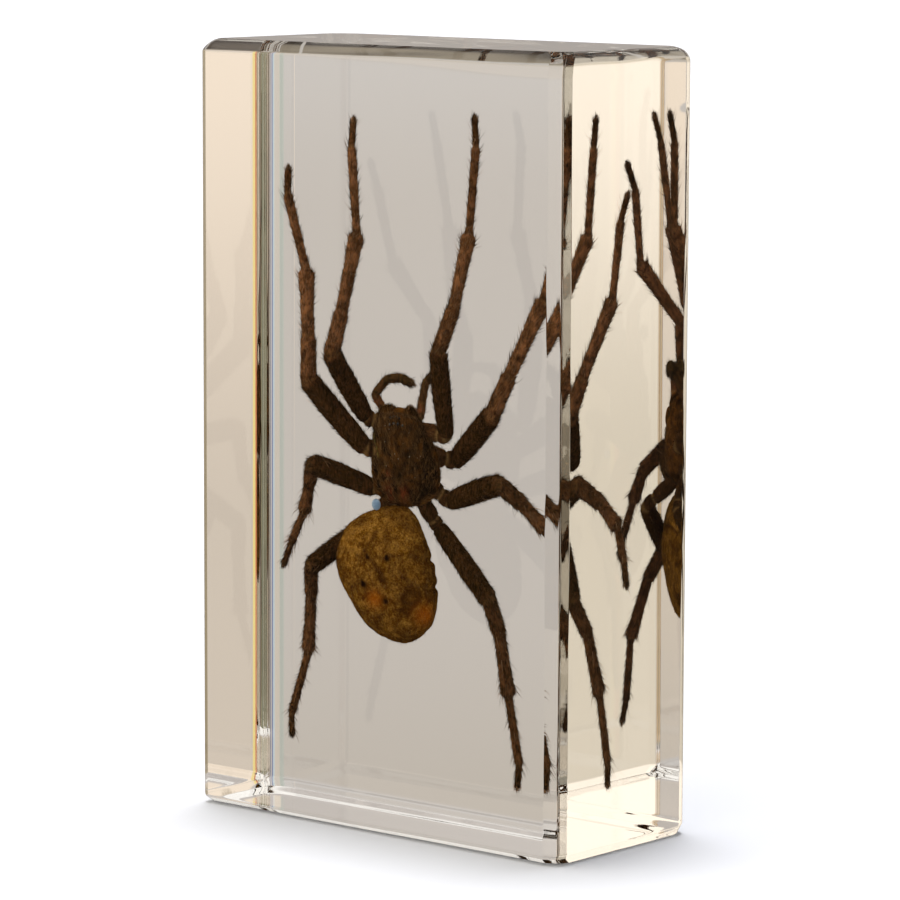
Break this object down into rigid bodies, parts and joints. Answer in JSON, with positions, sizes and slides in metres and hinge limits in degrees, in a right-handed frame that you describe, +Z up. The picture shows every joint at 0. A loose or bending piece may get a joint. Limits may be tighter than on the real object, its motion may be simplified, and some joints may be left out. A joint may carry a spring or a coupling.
{
  "type": "spider in resin block",
  "caption": "Dried spider cast in an upright block of clear resin with rounded, hand-polished edges; a display specimen.",
  "frame": {"origin": "middle of the block's bottom face, the small end that it stands on", "axes": "+X along the wide front face, to the right as seen from the front; +Y to the back; +Z up along the block's length, towards the spider's head"},
  "size_m": [0.066, 0.03, 0.11],
  "materials": {
    "clear_resin": "clear cast polyester resin, polished by hand",
    "carapace": "dry mottled brown, fine hairs",
    "abdomen": "dry golden ochre with dark pits, wrinkled",
    "palp": "dry reddish brown",
    "leg": "dry dark brown, fine hairs"
  },
  "bodies": {
    "root": {"resin_front_half": "clear_resin", "resin_back_half": "clear_resin", "cephalothorax": "carapace", "abdomen": "abdomen", "palp_left": "palp", "palp_right": "palp", "leg_left_1": "leg", "leg_left_2": "leg", "leg_left_3": "leg", "leg_left_4": "leg", "leg_right_1": "leg", "leg_right_2": "leg", "leg_right_3": "leg", "leg_right_4": "leg"}
  },
  "joints": []
}
